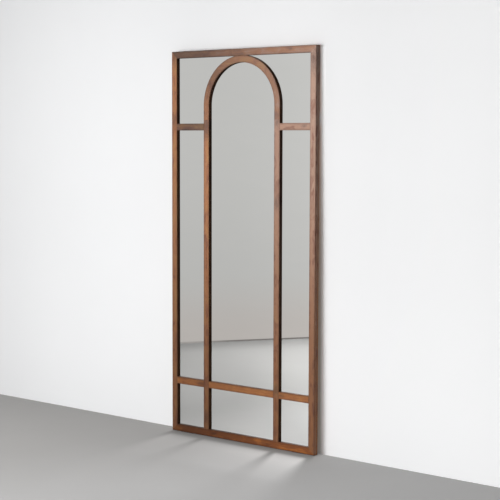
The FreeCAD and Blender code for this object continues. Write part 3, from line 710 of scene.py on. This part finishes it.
def mirrored_light(tree, parts):
    """The floor's brightness as the mirror shows it, as one factor."""
    seen_at = calc(tree, "MULTIPLY_ADD", parts["Y"], SIGHT_SLOPE, parts["X"])
    half_way = product(tree, spread(tree, parts["Y"], *LIFT_FAR), spread(tree, parts["Y"], *LIFT_NEAR))
    lift = product(tree, half_way, spread(tree, seen_at, *LIFT_ACROSS))
    inward = Matrix.Rotation(math.radians(SIDE_WALL_TURN + 90), 2) @ Vector((1, 0))
    along_y = calc(tree, "MULTIPLY_ADD", parts["Y"], inward.y, -inward.dot(SIDE_WALL_FOOT))
    off_side_wall = calc(tree, "MULTIPLY_ADD", parts["X"], inward.x, along_y)
    deepest = spread(tree, seen_at, *SIDE_SHADE_ACROSS)
    shade = spread(tree, off_side_wall, *SIDE_SHADE_REACH, start=deepest, end=1.0)
    at_foot = spread(tree, parts["X"], *FOOT_ACROSS)
    factor = product(tree, spread(tree, parts["Y"], *FOOT_REACH, start=1.0, end=at_foot), shade)
    return calc(tree, "MULTIPLY_ADD", factor, lift, factor)


def fade_out(tree, shader, place):
    """Lets the far floor pass into the backdrop, as the camera and the mirror see it."""
    far = vectors(tree, "LENGTH", place)
    path = add(tree, "ShaderNodeLightPath").outputs
    seen = product(tree, spread(tree, far, *FLOOR_FADING), path["Is Camera Ray"])
    mirrored = product(tree, spread(tree, far, *MIRRORED_FADING), path["Is Glossy Ray"])
    level = mix(tree, path["Is Camera Ray"], MIRRORED_LEVEL, BACKDROP_LEVEL)
    backdrop = add(tree, "ShaderNodeEmission", {"Strength": level})
    share = calc(tree, "MAXIMUM", seen, mirrored)
    show(tree, add(tree, "ShaderNodeMixShader", {0: share, 1: shader.outputs[0], 2: backdrop.outputs[0]}))


def build_floor():
    """The pale floor, with the panes' light for the eye and a smooth brightness for the mirror."""
    made, tree, shader = material("pale_floor")
    place = place_in(tree)
    parts = parts_of(tree, place)
    # Painted shade: darker to the left and dimmer towards the camera
    colour = blend(tree, spread(tree, parts["X"], *FLOOR_ACROSS), *FLOOR_SHADED_COLOURS)
    colour = mottle(tree, colour, noise(tree, place, 3, detail=4.0), *FLOOR_CLOUDS)
    in_mirror = add(tree, "ShaderNodeLightPath").outputs["Is Glossy Ray"]
    light = mix(tree, in_mirror, thrown_light(tree, parts), mirrored_light(tree, parts))
    colour = scaled(tree, scaled(tree, colour, light), spread(tree, parts["Y"], *FLOOR_PAINTED_DIMMING))
    feed(tree, shader.inputs["Base Color"], colour)
    shader.inputs["Roughness"].default_value = 0.8
    shader.inputs["Specular IOR Level"].default_value = 0.2
    fade_out(tree, shader, place)
    signs = ((-1, -1), (1, -1), (1, 1), (-1, 1))
    return panel("floor", [(x * FLOOR_HALF, y * FLOOR_HALF, 0) for x, y in signs], made)


def build_wall():
    """The white wall behind, with its strip beside the frame, fading out at both ends."""
    made, tree, shader = material("white_wall")
    place = place_in(tree)
    parts = parts_of(tree, place)
    # Painted shade on the left and painted light towards the floor, against the lamp's falloff
    colour = blend(tree, spread(tree, parts["X"], *WALL_ACROSS), *WALL_SHADED_COLOURS)
    colour = mottle(tree, colour, noise(tree, place, 2, detail=3.0), *WALL_CLOUDS)
    colour = scaled(tree, colour, spread(tree, parts["Z"], *WALL_PAINTED_BRIGHTENING))

    below_top = spread(tree, parts["Z"], *STRIP_TOP)
    from_frame = calc(tree, "GREATER_THAN", parts["X"], TINT_BEGINS)
    tint_across = product(tree, from_frame, spread(tree, parts["X"], *TINT_ENDS))
    tinted = product(tree, tint_across, below_top, spread(tree, parts["Z"], *TINT_UP))
    colour = blend(tree, tinted, colour, scaled(tree, colour, TINT))
    rising, falling = (spread(tree, parts["X"], *ramp) for ramp in (GLOW_BEGINS, GLOW_ENDS))
    strip_glow = product(tree, rising, falling, below_top, spread(tree, parts["Z"], *GLOW_UP))
    glow = calc(tree, "ADD", strip_glow, spread(tree, parts["X"], *WALL_GLOW))

    feed(tree, shader.inputs["Base Color"], colour)
    feed(tree, shader.inputs["Emission Strength"], glow)
    shader.inputs["Emission Color"].default_value = WHITE
    shader.inputs["Roughness"].default_value = 0.9
    shader.inputs["Specular IOR Level"].default_value = 0.1
    one_sided(tree, shader, spread(tree, calc(tree, "ABSOLUTE", parts["X"]), *WALL_FADING))

    skew = WALL_HALF * math.tan(math.radians(WALL_TURN))
    rise = WALL_HEIGHT * math.tan(math.radians(WALL_LEAN))
    feet = [(-WALL_HALF, WALL_FOOT - skew), (WALL_HALF, WALL_FOOT + skew)]
    tops = [(x, y - rise, WALL_HEIGHT) for x, y in reversed(feet)]
    wall = panel("wall", [(*foot, 0) for foot in feet] + tops, made)
    let_light_past(wall)
    return wall


def build_side_wall():
    """The grey wall in the mirror, glowing with painted light, with painted shade along its foot."""
    made = bpy.data.materials.new("grey_side_wall")
    made.use_nodes = True
    tree = made.node_tree
    tree.nodes.remove(tree.nodes["Principled BSDF"])
    parts = parts_of(tree, place_in(tree))
    # Painted light, brighter upwards and to the right, and painted shade along the foot
    level = spread(tree, parts["Z"], *SIDE_WALL_LEVEL)
    level = calc(tree, "ADD", level, spread(tree, parts["Y"], *SIDE_WALL_RIGHT))
    side_foot_shade = spread(tree, parts["Y"], *SIDE_FOOT_SHADE)
    level = product(tree, level, spread(tree, parts["Z"], *SIDE_FOOT_SHADE_UP, start=side_foot_shade, end=1.0))
    colour = blend(tree, spread(tree, parts["Z"], *SIDE_WALL_TINTING), *SIDE_WALL_COLOURS)
    one_sided(tree, add(tree, "ShaderNodeEmission", {"Color": colour, "Strength": level}))
    run = Matrix.Rotation(math.radians(SIDE_WALL_TURN), 2) @ Vector((SIDE_WALL_HALF, 0))
    near, far = Vector(SIDE_WALL_FOOT) + run, Vector(SIDE_WALL_FOOT) - run
    corners = [(*near, 0), (*far, 0), (*far, SIDE_WALL_HEIGHT), (*near, SIDE_WALL_HEIGHT)]
    side_wall = panel("side_wall", corners, made)
    side_wall.visible_camera = False
    let_light_past(side_wall)


def build_sky():
    """Light from the left and behind, little from the front right, and a pale backdrop."""
    world = bpy.data.worlds.new("room_light")
    world.use_nodes = True
    tree = world.node_tree
    way = add(tree, "ShaderNodeTexCoord").outputs["Generated"]
    facing = vectors(tree, "DOT_PRODUCT", way, Vector(SKY_BRIGHT_SIDE).normalized())
    path = add(tree, "ShaderNodeLightPath").outputs
    mirrored = calc(tree, "MAXIMUM", path["Is Glossy Ray"], path["Is Transmission Ray"])
    level = mix(tree, mirrored, spread(tree, facing, *SKY_LIGHT), MIRRORED_LEVEL)
    level = mix(tree, path["Is Camera Ray"], level, BACKDROP_LEVEL)
    feed(tree, tree.nodes["Background"].inputs["Color"], WHITE)
    feed(tree, tree.nodes["Background"].inputs["Strength"], level)
    bpy.context.scene.world = world


def hang_lamp(name, place, target, span, power):
    """A round soft lamp that the camera doesn't see."""
    lamp = bpy.data.lights.new(name, "AREA")
    lamp.shape = "DISK"
    lamp.size = span
    lamp.energy = power
    holder = bpy.data.objects.new(name, lamp)
    bpy.context.scene.collection.objects.link(holder)
    holder.location = place
    aim = Vector(target) - Vector(place)
    holder.rotation_euler = aim.to_track_quat("-Z", "Y").to_euler()
    holder.visible_camera = False
    return holder


def keep_off(lamp, *pieces):
    """Keeps a lamp's light, and its image, off these pieces."""
    unlit = bpy.data.collections.new(f"unlit_by_{lamp.name}")
    for piece in pieces:
        unlit.objects.link(piece)
    for member in unlit.collection_objects:
        member.light_linking.link_state = "EXCLUDE"
    lamp.light_linking.receiver_collection = unlit


def set_camera():
    camera = bpy.data.cameras.new("camera")
    camera.sensor_width = SENSOR_MM
    camera.lens = CAMERA_LENS_MM
    stand = bpy.data.objects.new("camera", camera)
    bpy.context.scene.collection.objects.link(stand)
    yaw, pitch, roll = (math.radians(turn) for turn in (CAMERA_YAW, CAMERA_PITCH, CAMERA_ROLL))
    level = Matrix.Rotation(yaw, 4, "Z") @ Matrix.Rotation(math.pi / 2 + pitch, 4, "X")
    stand.matrix_world = Matrix.Translation(CAMERA_PLACE) @ level @ Matrix.Rotation(roll, 4, "Z")
    bpy.context.scene.camera = stand


set_camera()
floor = build_floor()
wall = build_wall()
build_side_wall()
build_sky()
key = hang_lamp("key", KEY_PLACE, KEY_TARGET, KEY_SPAN, KEY_POWER)
keep_off(key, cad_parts["mirror_glass"])
rear = hang_lamp("rear", REAR_PLACE, REAR_TARGET, REAR_SPAN, REAR_POWER)
keep_off(rear, floor, wall)

for number, board in enumerate(BOARDS, 1):
    dress(board.node, walnut(board, number))

dress("mirror_glass", silvered_glass())
dress("backing_board", hardboard())
beads = {turn: raw_wood(f"bead_{turn}", turn, BEAD_WOOD) for turn in (UP, ALONG)}
for side, turn in (("left", UP), ("right", UP), ("top", ALONG), ("bottom", ALONG)):
    dress(f"{side}_bead", beads[turn])
beech = raw_wood("beech", ALONG, BEECH_WOOD)
dress("corner_biscuits", beech)
dress("arch_tongues", beech)

zinc = steel("zinc_steel", ZINC, rough=0.42, smooth=0.26)
dress("bead_brads", steel("bright_steel", BRIGHT_STEEL, rough=0.4, smooth=0.25))
hanger_screws(zinc)
for side, sign in (("left", -1), ("right", 1)):
    dress(f"{side}_hanger_plate", zinc)
    hanger_ring(side, sign, zinc)
black = rubber()
for name in ("setting_blocks", "wall_bumpers", "floor_pads"):
    dress(name, black)

bpy.context.scene.view_settings.view_transform = "Standard"
